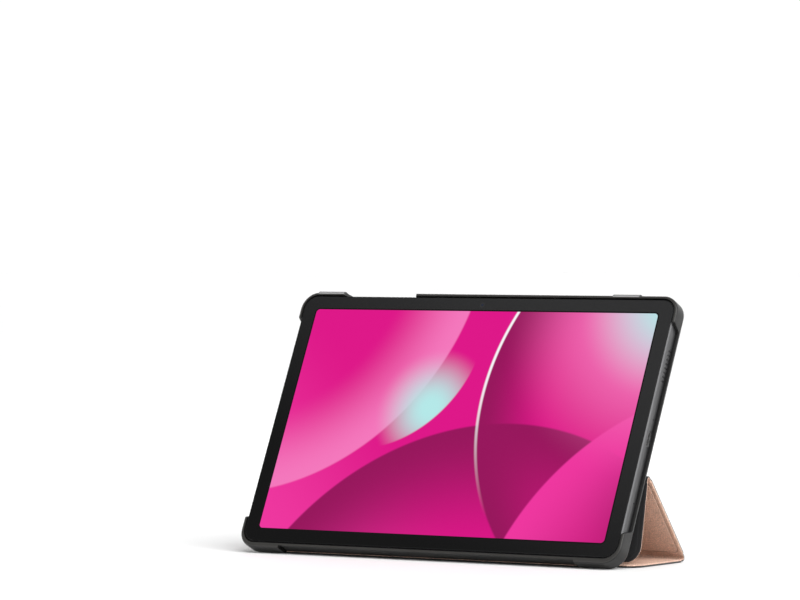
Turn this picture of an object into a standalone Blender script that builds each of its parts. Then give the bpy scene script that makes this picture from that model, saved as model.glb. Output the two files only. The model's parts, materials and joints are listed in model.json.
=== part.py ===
"""Tablet computer standing in its tri-fold folio case.

The tablet leans back in a hard tray, the case shell. A leather cover is hinged to the
shell's bottom edge: a narrow spine strip, then the inner, middle and outer panels. Here the
cover is folded into the prism that props the tablet up, with the cover's lining on the
table and its leather inside the prism.

World frame: +X along the tablet's long side, +Y away from the person who reads the screen,
+Z up, origin on the table in the middle of the footprint.
Tablet frame (the empty "tablet_frame"): X along the long side, Y up the screen, Z out of
the screen. Its Y is 0 at the case's bottom edge and its Z is 0 at the case's back.
"""

from math import cos, pi, radians, sin

import bmesh
import bpy
from mathutils import Matrix

MM = 0.001

# The tablet -----------------------------------------------------------------------------
TABLET_W = 245.0 * MM
TABLET_H = 153.0 * MM
TABLET_CORNER = 8.5 * MM
SCREEN_W = 225.6 * MM
SCREEN_H = 135.4 * MM

# The case shell, a tray open to the front -----------------------------------------------
SHELL_GAP = 0.25 * MM          # between the tablet and the tray's walls
SHELL_WALL = 1.55 * MM
SHELL_FLOOR = 1.5 * MM
SHELL_RIM_Z = 9.6 * MM         # top of the corner bumpers
SHELL_BACK_ROUND = 1.6 * MM
SHELL_RIM_ROUND = 1.0 * MM
SHELL_BOTTOM = 2.9 * MM        # tablet's bottom edge above the case's bottom edge
SPINE_RECESS = 1.45 * MM       # depth of the bottom recess that takes the spine strip
SPINE_HALF = 96.5 * MM
CUTAWAY_FLOOR_Z = 2.3 * MM     # what is left of the wall along the cut-away sides
CUTAWAY_Y = (17.0 * MM, 143.0 * MM)      # each short side, between its corner bumpers
CUTAWAY_EASE = 5.0 * MM
BUTTON_CUTAWAY_X = (-96.8 * MM, -47.4 * MM)
BUTTON_EASE = 3.5 * MM
CLIP_PADS_X = ((-115.5 * MM, -96.3 * MM), (80.5 * MM, 99.1 * MM))
CLIP_PAD_Z = (1.6 * MM, 8.9 * MM)
CLIP_PAD_PROUD = 1.0 * MM
CAMERA_HOLE_RADIUS = 9.2 * MM
MOULD_SLOTS_X = (-36.0 * MM, 39.4 * MM)
MOULD_SLOT = (4.0 * MM, 3.4 * MM, 3.6 * MM)  # long, into the floor, up the wall
FLAP_Y = (2.0 * MM, 11.2 * MM)
FLAP_Z = (0.1 * MM, 0.6 * MM)
FLAP_CLEAR = 0.3 * MM          # round the flap in its bed

# The heights of the layers in the tablet frame ------------------------------------------
BACK_Z = 1.7 * MM              # tablet's back
FRAME_Z = (2.85 * MM, 9.1 * MM)
PLATE_Z = (5.9 * MM, 6.6 * MM)  # the midframe's inner plate
LEDGE_Z = 8.2 * MM             # what the glass is glued to
ADHESIVE_Z = (8.3 * MM, 8.5 * MM)
GLASS_Z = (8.6 * MM, 9.3 * MM)
BOARD_Z = (3.2 * MM, 3.9 * MM)
KEY_Z = 4.5 * MM               # middle height of the buttons and ports
FRAME_WALL = 2.9 * MM
FRAME_BACK_ROUND = 0.25 * MM
FRAME_RIM_ROUND = 0.35 * MM

# The cover ------------------------------------------------------------------------------
LEAN = radians(25.6)           # the screen leans back this far from upright
STRIP_T = 1.2 * MM
PANEL_T = 2.2 * MM
SKIN_T = 0.5 * MM              # leather, and lining
BOARD_T = 1.0 * MM
STRIP_L = 9.9 * MM             # between the first two creases
INNER_L = 53.2 * MM            # between creases 2 and 3
MIDDLE_L = 58.0 * MM           # between creases 3 and 4
OUTER_L = 45.4 * MM            # from crease 4 to the free edge
CREASE_GAP = 1.2 * MM          # from a crease's axis to the end of a plate
CREASE_LIFT = 0.4 * MM         # creases 3 and 4 lie this far above the leather
MIDDLE_RISE = radians(130.0)   # directions of the folded panels, from +Y towards +Z
OUTER_FALL = radians(258.9)
PANEL_CORNER = 9.0 * MM
CREASE_CORNER = 1.5 * MM
BOARD_MARGIN = 2.6 * MM
FOLD_MARGIN = 4.0 * MM         # a board stops this far short of a crease
CREASE_1 = (0.75 * MM, 0.7 * MM)  # in the tablet frame's Y and Z
FOOTPRINT_SHIFT = -29.914 * MM  # puts crease 1 where the footprint is centred

# Derived sizes --------------------------------------------------------------------------
SHELL_SIDE = SHELL_GAP + SHELL_WALL
SHELL_W = TABLET_W + 2 * SHELL_SIDE
SHELL_H = SHELL_BOTTOM + TABLET_H + SHELL_SIDE
SHELL_CORNER = TABLET_CORNER + SHELL_SIDE
TABLET_TOP = SHELL_BOTTOM + TABLET_H
TABLET_MID = SHELL_BOTTOM + TABLET_H / 2
SIDE_X = TABLET_W / 2
WALL_X = SIDE_X - FRAME_WALL   # inner face of the midframe's side walls
WALL_Y = TABLET_TOP - FRAME_WALL

# Places of the fittings in the tablet frame ---------------------------------------------
CAMERA = (-104.8 * MM, 136.7 * MM)
FRONT_CAMERA = (-1.9 * MM, 151.0 * MM)
USB_Y = 74.5 * MM
POWER_X = -58.0 * MM
VOLUME_X = -80.0 * MM
POWER_LENGTH = 12.0 * MM
VOLUME_LENGTH = 22.0 * MM
BUTTON_CLEAR = 0.7 * MM        # longer than the button is its slot
BUTTON_PROUD = 0.45 * MM
BUTTON_FLANGE = 0.3 * MM       # half the flange's thickness
SWITCH_OFFSET = 7.0 * MM       # of the two volume switches from the rocker's middle
TRAY_Y = 103.7 * MM
GRILLE_RIGHT_Y = 117.6 * MM
GRILLE_LEFT_Y = 37.6 * MM
GRILLE_PITCH = 2.55 * MM
GRILLE_HOLES = 8
MICROPHONES_Y = (86.0 * MM, 37.0 * MM)
SCREWS = {
    "main_board_screw_1": (-115.3 * MM, 61.0 * MM),
    "main_board_screw_2": (-80.0 * MM, 61.0 * MM),
    "main_board_screw_3": (-115.3 * MM, 117.5 * MM),
    "main_board_screw_4": (-80.0 * MM, 143.5 * MM),
    "sub_board_screw_1": (104.0 * MM, 64.0 * MM),
    "sub_board_screw_2": (104.0 * MM, 92.0 * MM),
}

# Colour, roughness, metallic ------------------------------------------------------------
FINISHES = {
    "shell_plastic": ((0.012, 0.012, 0.013), 0.45, 0.0),
    "leather": ((0.73, 0.47, 0.36), 0.55, 0.0),
    "lining": ((0.015, 0.015, 0.016), 0.9, 0.0),
    "cover_board": ((0.30, 0.27, 0.22), 0.9, 0.0),
    "magnet": ((0.45, 0.45, 0.46), 0.35, 1.0),
    "glass": ((0.02, 0.02, 0.022), 0.05, 0.0),
    "display": ((0.75, 0.01, 0.25), 0.3, 0.0),
    "adhesive": ((0.03, 0.03, 0.03), 0.9, 0.0),
    "frame_metal": ((0.10, 0.10, 0.105), 0.35, 1.0),
    "back_metal": ((0.09, 0.09, 0.095), 0.4, 1.0),
    "battery_foil": ((0.12, 0.12, 0.13), 0.4, 0.0),
    "circuit_board": ((0.01, 0.06, 0.03), 0.5, 0.0),
    "can_metal": ((0.6, 0.6, 0.6), 0.3, 1.0),
    "copper": ((0.72, 0.35, 0.2), 0.3, 1.0),
    "flex": ((0.35, 0.15, 0.03), 0.5, 0.0),
    "black_plastic": ((0.02, 0.02, 0.02), 0.5, 0.0),
    "lens_glass": ((0.01, 0.01, 0.02), 0.05, 0.0),
    "steel": ((0.5, 0.5, 0.5), 0.3, 1.0),
}

CORNER_STEPS = 10              # straight pieces in a rounded corner
ROUND_STEPS = 32               # sides of a large round piece
SMALL_ROUND = 12               # sides of a small round piece
THROUGH = 2.0 * MM             # how far a cutter runs past what it cuts


# Scene, materials and collections -------------------------------------------------------

def clear_scene():
    for old in list(bpy.data.objects):
        bpy.data.objects.remove(old, do_unlink=True)


def new_collection(name):
    made = bpy.data.collections.new(name)
    bpy.context.scene.collection.children.link(made)
    return made


def make_material(name):
    colour, roughness, metallic = FINISHES[name]
    made = bpy.data.materials.new(name)
    made.use_nodes = True
    made.diffuse_color = (*colour, 1.0)
    shader = made.node_tree.nodes["Principled BSDF"]
    shader.inputs["Base Color"].default_value = (*colour, 1.0)
    shader.inputs["Roughness"].default_value = roughness
    shader.inputs["Metallic"].default_value = metallic
    return made


def place(obj, parent, finish, collection=None):
    """Put an object in its collection, under its parent and in its material."""
    for old in list(obj.users_collection):
        old.objects.unlink(obj)
    (collection or PARTS).objects.link(obj)
    obj.parent = parent
    if finish:
        obj.data.materials.clear()
        obj.data.materials.append(MATERIALS[finish])
    return obj


def new_empty(name, parent, location, turn):
    made = bpy.data.objects.new(name, None)
    made.empty_display_size = 0.01
    made.parent = parent
    made.location = location
    made.rotation_euler = (turn, 0.0, 0.0)
    PARTS.objects.link(made)
    return made


# Outlines: lists of 2D points, anticlockwise --------------------------------------------

def arc(centre, radius, start, sweep, steps):
    angles = [start + sweep * i / steps for i in range(steps + 1)]
    return [(centre[0] + radius * cos(a), centre[1] + radius * sin(a)) for a in angles]


def rounded(low_x, high_x, low_y, high_y, radii, steps=CORNER_STEPS):
    """A rectangle with rounded corners. radii: one, or (low-low, high-low, high-high, low-high)."""
    if isinstance(radii, float):
        radii = (radii,) * 4
    corners = (
        (low_x + radii[0], low_y + radii[0], pi),
        (high_x - radii[1], low_y + radii[1], 1.5 * pi),
        (high_x - radii[2], high_y - radii[2], 0.0),
        (low_x + radii[3], high_y - radii[3], 0.5 * pi),
    )
    points = []
    for radius, (x, y, start) in zip(radii, corners):
        points += arc((x, y), radius, start, pi / 2, steps)
    return points


def middle_rounded(width, height, middle_y, radius, steps=CORNER_STEPS):
    half = width / 2
    return rounded(-half, half, middle_y - height / 2, middle_y + height / 2, radius, steps)


def eased_notch(low, high, ease, floor, top):
    """The outline of a notch cut down from top to floor, with S-shaped ends."""
    steps = 6
    def blend(i):
        t = i / steps
        return t * t * (3 - 2 * t)
    left = [(low + ease * i / steps, top + (floor - top) * blend(i)) for i in range(steps + 1)]
    right = [(high - ease + ease * i / steps, floor + (top - floor) * blend(i))
             for i in range(steps + 1)]
    over = top + THROUGH
    return left + right + [(high, over), (low, over)]


# Solids ---------------------------------------------------------------------------------

def slab(name, outline, low, high, parent, finish, holes=(), collection=None):
    """A flat outline in X and Y given a thickness from z = low to z = high."""
    curve = bpy.data.curves.new(name, "CURVE")
    curve.dimensions = "2D"
    curve.fill_mode = "BOTH"
    curve.extrude = (high - low) / 2
    for points in (outline, *holes):
        spline = curve.splines.new("POLY")
        spline.points.add(len(points) - 1)
        for point, (x, y) in zip(spline.points, points):
            point.co = (x, y, 0.0, 1.0)
        spline.use_cyclic_u = True
    flat = bpy.data.objects.new(name, curve)
    bpy.context.scene.collection.objects.link(flat)
    flat.location = (0.0, 0.0, (low + high) / 2)
    made = mesh_of(flat, name)
    return place(made, parent, finish, collection)


def mesh_of(curve_object, name):
    """A curve object's mesh, with its caps welded on and each cap one face where it can be."""
    bpy.context.view_layer.update()
    depsgraph = bpy.context.evaluated_depsgraph_get()
    mesh = bpy.data.meshes.new_from_object(curve_object.evaluated_get(depsgraph))
    mesh.name = name
    edit = bmesh.new()
    edit.from_mesh(mesh)
    bmesh.ops.remove_doubles(edit, verts=edit.verts, dist=1e-6)
    bmesh.ops.dissolve_limit(edit, angle_limit=radians(0.5), verts=edit.verts, edges=edit.edges)
    bmesh.ops.recalc_face_normals(edit, faces=edit.faces)
    edit.to_mesh(mesh)
    edit.free()
    made = bpy.data.objects.new(name, mesh)
    made.matrix_world = curve_object.matrix_world
    bpy.data.objects.remove(curve_object, do_unlink=True)
    made.name = name
    return made


def stand_up(obj, axes):
    """Turn a slab's X, Y and Z to the named axes of its parent, such as "YZX"."""
    rows = {"X": (1, 0, 0), "Y": (0, 1, 0), "Z": (0, 0, 1)}
    turn = Matrix([rows[a] for a in axes]).transposed()
    obj.data.transform(obj.matrix_basis)
    obj.matrix_basis = Matrix.Identity(4)
    obj.data.transform(turn.to_4x4())
    if turn.determinant() < 0:
        obj.data.flip_normals()
    return obj


def block(name, x, y, z, parent, finish, bevel=0.0, collection=None):
    """A box between pairs of limits, with its edges bevelled."""
    bpy.ops.mesh.primitive_cube_add(size=1.0)
    made = bpy.context.object
    made.name = made.data.name = name
    sizes = [high - low for low, high in (x, y, z)]
    made.data.transform(Matrix.Diagonal((*sizes, 1.0)))
    made.location = [(low + high) / 2 for low, high in (x, y, z)]
    if bevel:
        add_bevel(made, bevel)
    return place(made, parent, finish, collection)


def around(middle, size):
    return middle - size / 2, middle + size / 2


def cylinder(name, centre, radius, low, high, parent, finish=None, sides=SMALL_ROUND,
             collection=None):
    """A cylinder along Z from low to high."""
    bpy.ops.mesh.primitive_cylinder_add(vertices=sides, radius=radius, depth=high - low)
    made = bpy.context.object
    made.name = made.data.name = name
    made.location = (*centre, (low + high) / 2)
    return place(made, parent, finish, collection)


def turned(name, profile, centre, parent, finish, sides=ROUND_STEPS, ring=False):
    """A profile of (radius, z), down its outer side from the top, turned about Z."""
    mesh = bpy.data.meshes.new(name)
    count = len(profile)
    edges = [(i, i + 1) for i in range(count - 1)]
    if ring:
        edges.append((count - 1, 0))
    mesh.from_pydata([(r, 0.0, z) for r, z in profile], edges, [])
    made = bpy.data.objects.new(name, mesh)
    screw = made.modifiers.new("turn", "SCREW")
    screw.steps = screw.render_steps = sides
    screw.use_merge_vertices = True
    screw.merge_threshold = 1e-6
    made.location = (*centre, 0.0)
    return place(made, parent, finish)


def add_bevel(obj, width, segments=1):
    bevel = obj.modifiers.new("bevel", "BEVEL")
    bevel.width = width
    bevel.segments = segments
    bevel.limit_method = "ANGLE"
    bevel.angle_limit = radians(40)
    return bevel


def bevel_rims(obj, low_width, high_width, segments=2):
    """Round a slab's two rims by different amounts, with edge weights."""
    mesh = obj.data
    heights = [v.co.z for v in mesh.vertices]
    low, high = min(heights), max(heights)
    widest = max(low_width, high_width)
    weights = mesh.attributes.new("bevel_weight_edge", "FLOAT", "EDGE")
    for edge in mesh.edges:
        z = [heights[i] for i in edge.vertices]
        if max(z) - low < 1e-7:
            weights.data[edge.index].value = low_width / widest
        elif high - min(z) < 1e-7:
            weights.data[edge.index].value = high_width / widest
    bevel = obj.modifiers.new("rims", "BEVEL")
    bevel.width = widest
    bevel.segments = segments
    bevel.limit_method = "WEIGHT"


def cut(target, *cutters, join=False):
    """Cut each cutter out of the target, or join it on."""
    for cutter in cutters:
        cutter.hide_render = True
        cutter.display_type = "WIRE"
        boolean = target.modifiers.new(cutter.name, "BOOLEAN")
        boolean.operation = "UNION" if join else "DIFFERENCE"
        boolean.object = cutter


def smooth(obj, angle=35):
    obj.data.shade_smooth()
    obj.data.set_sharp_from_angle(angle=radians(angle))


# The case shell -------------------------------------------------------------------------

def shell_outline():
    return rounded(-SHELL_W / 2, SHELL_W / 2, 0.0, SHELL_H, SHELL_CORNER)


def side_cutaway(sign, name):
    """Cuts a short side's wall away between its corner bumpers."""
    notch = eased_notch(*CUTAWAY_Y, CUTAWAY_EASE, CUTAWAY_FLOOR_Z, SHELL_RIM_Z)
    low, high = SIDE_X, SHELL_W / 2 + THROUGH
    piece = slab(name, notch, low, high, FRAME, None, collection=CUTTERS)
    stand_up(piece, "YZX")
    if sign < 0:
        piece.data.transform(Matrix.Diagonal((-1, 1, 1, 1)))
        piece.data.flip_normals()
    return piece


def button_cutaway():
    notch = eased_notch(*BUTTON_CUTAWAY_X, BUTTON_EASE, CUTAWAY_FLOOR_Z, SHELL_RIM_Z)
    low, high = TABLET_TOP, SHELL_H + 2 * THROUGH
    piece = slab("button_cutaway", notch, -high, -low, FRAME, None, collection=CUTTERS)
    # the slab's X, Y and thickness run along X, Z and -Y
    stand_up(piece, "XZY")
    piece.data.transform(Matrix.Diagonal((1, -1, 1, 1)))
    piece.data.flip_normals()
    return piece


def make_case_shell():
    shell = slab("case_shell", shell_outline(), 0.0, SHELL_RIM_Z, FRAME, "shell_plastic")
    bevel_rims(shell, SHELL_BACK_ROUND, SHELL_RIM_ROUND, segments=4)
    for i, pad_x in enumerate(CLIP_PADS_X):
        pad = block(f"clip_pad_{i + 1}", pad_x,
                    (SHELL_H - SHELL_WALL * 0.8, SHELL_H + CLIP_PAD_PROUD), CLIP_PAD_Z,
                    FRAME, None, bevel=0.6 * MM, collection=CUTTERS)
        cut(shell, pad, join=True)
    pocket = slab("tablet_pocket",
                  middle_rounded(TABLET_W + 2 * SHELL_GAP, TABLET_H + 2 * SHELL_GAP, TABLET_MID,
                                 TABLET_CORNER + SHELL_GAP),
                  SHELL_FLOOR, SHELL_RIM_Z + THROUGH, FRAME, None, collection=CUTTERS)
    recess = block("spine_recess", (-SPINE_HALF, SPINE_HALF), (-THROUGH, SPINE_RECESS),
                   (-THROUGH, SHELL_RIM_Z + THROUGH), FRAME, None, collection=CUTTERS)
    flap_bed = block("flap_bed", (-SPINE_HALF, SPINE_HALF),
                     (-THROUGH, FLAP_Y[1] + FLAP_CLEAR), (-THROUGH, FLAP_Z[1] + 0.1 * MM),
                     FRAME, None, collection=CUTTERS)
    camera_hole = cylinder("camera_hole", CAMERA, CAMERA_HOLE_RADIUS, -THROUGH,
                           SHELL_FLOOR + THROUGH, FRAME, sides=ROUND_STEPS,
                           collection=CUTTERS)
    cut(shell, pocket, recess, flap_bed, camera_hole)
    cut(shell, side_cutaway(1, "side_cutaway_right"), side_cutaway(-1, "side_cutaway_left"),
        button_cutaway())
    length, inward, upward = MOULD_SLOT
    for i, x in enumerate(MOULD_SLOTS_X):
        slot = block(f"mould_slot_{i + 1}", around(x, length),
                     (SHELL_H - inward, SHELL_H + THROUGH), (-THROUGH, upward),
                     FRAME, None, collection=CUTTERS)
        cut(shell, slot)
    smooth(shell)


def make_anchor_flap():
    """The end of the cover's leather, glued into a shallow bed in the shell's back."""
    half = SPINE_HALF - FLAP_CLEAR
    outline = rounded(-half, half, *FLAP_Y, (0.5 * MM, 0.5 * MM, 2.0 * MM, 2.0 * MM), steps=3)
    slab("spine_anchor_flap", outline, *FLAP_Z, FRAME, "leather")


# The cover ------------------------------------------------------------------------------

def cover_plate(name, parent, finish, length, low, high, half_x, corners):
    """One layer of a panel. length: its two ends along the panel, from its crease."""
    outline = rounded(-half_x, half_x, length[0], length[1], corners, steps=4)
    return slab(name, outline, low, high, parent, finish)


def make_panel(name, axis, top, start, end, corners, board_start, board_end):
    """A panel's leather, board and lining. top: the leather's outer face in the axis's frame."""
    half = SHELL_W / 2
    gap = (PANEL_T - 2 * SKIN_T - BOARD_T) / 2
    cover_plate(f"{name}_leather", axis, "leather", (start, end), top - SKIN_T, top, half,
                corners)
    inner = tuple(max(r - BOARD_MARGIN, 1.0 * MM) for r in corners)
    board_top = top - SKIN_T - gap
    board = cover_plate(f"{name}_board", axis, "cover_board", (board_start, board_end),
                        board_top - BOARD_T, board_top, half - BOARD_MARGIN, inner)
    cover_plate(f"{name}_lining", axis, "lining", (start, end), top - PANEL_T,
                top - PANEL_T + SKIN_T, half, corners)
    return board, board_top


def add_magnet(name, board, board_top, axis, x, y):
    """A flat magnet in a window in a panel's board."""
    clear = 0.2 * MM
    window = block(f"{name}_window", (x[0] - clear, x[1] + clear), (y[0] - clear, y[1] + clear),
                   (board_top - BOARD_T - THROUGH, board_top + THROUGH), axis, None,
                   collection=CUTTERS)
    cut(board, window)
    block(name, x, y, (board_top - 0.9 * MM, board_top - 0.1 * MM), axis, "magnet",
          bevel=0.1 * MM)


def make_cover(crease_1):
    """The spine strip and three panels, each under an empty on its crease."""
    spine = new_empty("spine_crease_axis", None, crease_1, 0.0)
    inner = new_empty("inner_crease_axis", spine, (0.0, STRIP_L, 0.0), 0.0)
    leather_top = PANEL_T - STRIP_T / 2
    middle = new_empty("middle_crease_axis", inner, (0.0, INNER_L, leather_top + CREASE_LIFT),
                       MIDDLE_RISE)
    outer = new_empty("outer_crease_axis", middle, (0.0, MIDDLE_L, 0.0),
                      OUTER_FALL - MIDDLE_RISE)

    half = STRIP_T / 2
    strip_x = SPINE_HALF - 0.5 * MM
    strip = (1.4 * MM, STRIP_L - CREASE_GAP)
    small = (0.6 * MM,) * 4
    cover_plate("spine_leather", spine, "leather", strip, half - SKIN_T, half, strip_x, small)
    cover_plate("spine_lining", spine, "lining", strip, -half, SKIN_T - half, strip_x, small)

    near = (PANEL_CORNER, PANEL_CORNER, CREASE_CORNER, CREASE_CORNER)
    far = (CREASE_CORNER, CREASE_CORNER, PANEL_CORNER, PANEL_CORNER)
    square = (CREASE_CORNER,) * 4
    board, top = make_panel("inner_panel", inner, leather_top, CREASE_GAP,
                            INNER_L - CREASE_GAP, near, 2.8 * MM, INNER_L - FOLD_MARGIN)
    add_magnet("stand_magnet_inner", board, top, inner, around(0.0, 46.0 * MM),
               (6.0 * MM, 11.0 * MM))
    make_panel("middle_panel", middle, -CREASE_LIFT, CREASE_GAP, MIDDLE_L - CREASE_GAP, square,
               FOLD_MARGIN, MIDDLE_L - FOLD_MARGIN)
    board, top = make_panel("outer_panel", outer, -CREASE_LIFT, CREASE_GAP, OUTER_L, far,
                            FOLD_MARGIN, OUTER_L - BOARD_MARGIN)
    add_magnet("stand_magnet_outer", board, top, outer, around(0.0, 46.0 * MM),
               (OUTER_L - 10.0 * MM, OUTER_L - 5.0 * MM))
    add_magnet("wake_magnet", board, top, outer, around(-70.0 * MM, 8.0 * MM),
               around(OUTER_L / 2, 8.0 * MM))


# The tablet's casing and screen ---------------------------------------------------------

def frame_outline(inset):
    return middle_rounded(TABLET_W - 2 * inset, TABLET_H - 2 * inset, TABLET_MID,
                          TABLET_CORNER - inset)


def side_hole(name, sign, y, z, width, height, radius):
    """A rounded hole through the left or right wall."""
    outline = rounded(*around(y, width), *around(z, height), radius, steps=3)
    low, high = sorted((sign * (WALL_X - 1.0 * MM), sign * (SIDE_X + THROUGH)))
    piece = slab(name, outline, low, high, FRAME, None, collection=CUTTERS)
    return stand_up(piece, "YZX")


def make_midframe():
    frame = slab("midframe", frame_outline(0.0), *FRAME_Z, FRAME, "frame_metal")
    bevel_rims(frame, FRAME_BACK_ROUND, FRAME_RIM_ROUND, segments=1)
    hollow = frame_outline(FRAME_WALL)
    rear = slab("rear_hollow", hollow, FRAME_Z[0] - THROUGH, PLATE_Z[0], FRAME, None,
                collection=CUTTERS)
    front = slab("front_hollow", hollow, PLATE_Z[1], FRAME_Z[1] + THROUGH, FRAME, None,
                 collection=CUTTERS)
    ledge = slab("glass_recess", frame_outline(0.6 * MM), LEDGE_Z, FRAME_Z[1] + THROUGH, FRAME,
                 None, collection=CUTTERS)
    cut(frame, rear, front, ledge)

    for name, x, length in (("power_slot", POWER_X, POWER_LENGTH),
                            ("volume_slot", VOLUME_X, VOLUME_LENGTH)):
        cut(frame, block(name, around(x, length + BUTTON_CLEAR),
                         (WALL_Y - 1.0 * MM, TABLET_TOP + THROUGH),
                         around(KEY_Z, 2.3 * MM), FRAME, None, collection=CUTTERS))
    cut(frame, side_hole("usb_slot", 1, USB_Y, 4.4 * MM, 9.3 * MM, 3.2 * MM, 1.5 * MM))
    cut(frame, side_hole("tray_slot", -1, TRAY_Y, 4.9 * MM, 16.8 * MM, 2.4 * MM, 1.0 * MM))
    for sign, middle in ((1, GRILLE_RIGHT_Y), (-1, GRILLE_LEFT_Y)):
        for row, z in enumerate((3.8 * MM, 5.3 * MM)):
            for i in range(GRILLE_HOLES):
                y = middle + (i - (GRILLE_HOLES - 1) / 2) * GRILLE_PITCH
                hole = side_hole(f"grille_{sign}_{row}_{i}", sign, y, z, 1.1 * MM, 1.1 * MM,
                                 0.54 * MM)
                cut(frame, hole)
    for i, y in enumerate(MICROPHONES_Y):
        cut(frame, side_hole(f"microphone_hole_{i}", 1, y, KEY_Z, 1.0 * MM, 1.0 * MM,
                             0.49 * MM))
    for name, centre in SCREWS.items():
        cut(frame, cylinder(f"{name}_plate_hole", centre, 0.9 * MM, PLATE_Z[0] - THROUGH,
                            PLATE_Z[1] + 1.0 * MM, FRAME, collection=CUTTERS))
    cut(frame, block("display_flex_slot", (-74.8 * MM, -71.4 * MM), (99.0 * MM, 125.0 * MM),
                     (PLATE_Z[0] - 1.0 * MM, PLATE_Z[1] + 1.0 * MM), FRAME, None,
                     collection=CUTTERS))
    smooth(frame)


def make_rear_cover():
    cover = slab("rear_cover", frame_outline(0.0), BACK_Z, FRAME_Z[0] - 0.15 * MM, FRAME,
                 "back_metal")
    bevel_rims(cover, 0.8 * MM, 0.1 * MM)
    cut(cover, cylinder("rear_camera_hole", CAMERA, 8.2 * MM, 0.0, FRAME_Z[0] + THROUGH, FRAME,
                        sides=ROUND_STEPS, collection=CUTTERS))
    smooth(cover)


def make_screen():
    glass = slab("front_glass", frame_outline(0.8 * MM), *GLASS_Z, FRAME, "glass")
    bevel_rims(glass, 0.1 * MM, 0.25 * MM)
    smooth(glass)
    slab("glass_adhesive", frame_outline(1.1 * MM), *ADHESIVE_Z, FRAME, "adhesive",
         holes=(frame_outline(2.6 * MM),))
    slab("display_panel", middle_rounded(SCREEN_W + 2.4 * MM, SCREEN_H + 2.4 * MM, TABLET_MID,
                                         2.0 * MM, steps=3),
         6.7 * MM, 8.35 * MM, FRAME, "display")


def make_cameras():
    ring = [(7.6, 0.5), (8.0, 0.9), (8.0, 2.75), (5.2, 2.75), (5.2, 0.8), (5.5, 0.5)]
    profile = [(r * MM, z * MM) for r, z in reversed(ring)]
    turned("rear_camera_ring", profile, CAMERA, FRAME, "back_metal", ring=True)
    lens = [(0.0, 1.35), (5.0, 1.35), (5.0, 0.85), (4.7, 0.75), (0.0, 0.7)]
    turned("rear_camera_lens", [(r * MM, z * MM) for r, z in lens], CAMERA, FRAME, "lens_glass")
    module = block("rear_camera_module", around(CAMERA[0], 10.0 * MM),
                   around(CAMERA[1], 10.0 * MM), (2.9 * MM, 5.8 * MM), FRAME, "black_plastic")
    barrel = cylinder("rear_camera_barrel", CAMERA, 4.6 * MM, 1.5 * MM, 3.4 * MM, FRAME,
                      sides=ROUND_STEPS // 2, collection=CUTTERS)
    cut(module, barrel, join=True)
    block("front_camera_module", around(FRONT_CAMERA[0], 3.6 * MM),
          around(FRONT_CAMERA[1], 3.6 * MM), (6.75 * MM, 8.2 * MM), FRAME, "black_plastic",
          bevel=0.2 * MM)


# The tablet's electronics ---------------------------------------------------------------

def make_batteries():
    for name, x in (("battery_cell_left", (-70.0, 12.0)), ("battery_cell_right", (15.0, 97.0))):
        block(name, (x[0] * MM, x[1] * MM), (22.0 * MM, 134.0 * MM), (2.9 * MM, 5.75 * MM),
              FRAME, "battery_foil", bevel=0.5 * MM)
    block("battery_board", (-64.0 * MM, -10.0 * MM), (136.0 * MM, 141.0 * MM),
          (4.0 * MM, 5.2 * MM), FRAME, "circuit_board")
    block("battery_flex", (-82.0 * MM, -50.0 * MM), (136.8 * MM, 140.4 * MM),
          (5.35 * MM, 5.55 * MM), FRAME, "flex")


def make_boards():
    low_x, high_x, low_y, high_y = -118.4, -76.0, 58.0, 148.5
    notch_x, notch_y = (-111.6, -98.0), 130.3
    outline = [(low_x, low_y), (high_x, low_y), (high_x, high_y), (notch_x[1], high_y),
               (notch_x[1], notch_y), (notch_x[0], notch_y), (notch_x[0], high_y),
               (low_x, high_y)]
    main = slab("main_board", [(x * MM, y * MM) for x, y in outline], *BOARD_Z, FRAME,
                "circuit_board")
    port_x, port_y = 114.8, (USB_Y / MM - 5.0, USB_Y / MM + 5.0)
    outline = [(99.0, 60.0), (118.8, 60.0), (118.8, port_y[0]), (port_x, port_y[0]),
               (port_x, port_y[1]), (118.8, port_y[1]), (118.8, 96.0), (99.0, 96.0)]
    sub = slab("sub_board", [(x * MM, y * MM) for x, y in outline], *BOARD_Z, FRAME,
               "circuit_board")
    for name, centre in SCREWS.items():
        board = main if name.startswith("main") else sub
        cut(board, cylinder(f"{name}_board_hole", centre, 0.9 * MM, BOARD_Z[0] - 1.0 * MM,
                            BOARD_Z[1] + 1.0 * MM, FRAME, collection=CUTTERS))
    cans = {
        "shield_can_processor": ((-97.0, -78.0), (96.0, 126.0)),
        "shield_can_power": ((-97.0, -78.0), (66.0, 92.0)),
        "shield_can_radio": ((-117.0, -100.0), (66.0, 92.0)),
    }
    for name, (x, y) in cans.items():
        block(name, (x[0] * MM, x[1] * MM), (y[0] * MM, y[1] * MM), (4.05 * MM, 5.25 * MM),
              FRAME, "can_metal", bevel=0.3 * MM)
    block("heat_spreader", (-97.0 * MM, -77.6 * MM), (64.0 * MM, 127.0 * MM),
          (5.4 * MM, 5.7 * MM), FRAME, "copper")
    for name, centre in SCREWS.items():
        make_screw(name, centre)


def make_screw(name, centre):
    """A pan head under a board, with its shank up through the midframe's plate."""
    profile = [(0.0, 6.4), (0.6, 6.4), (0.75, 6.2), (0.75, 3.1), (1.7, 3.1), (1.7, 2.95),
               (1.5, 2.8), (0.0, 2.8)]
    turned(name, [(r * MM, z * MM) for r, z in profile], centre, FRAME, "steel",
           sides=SMALL_ROUND)


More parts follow.
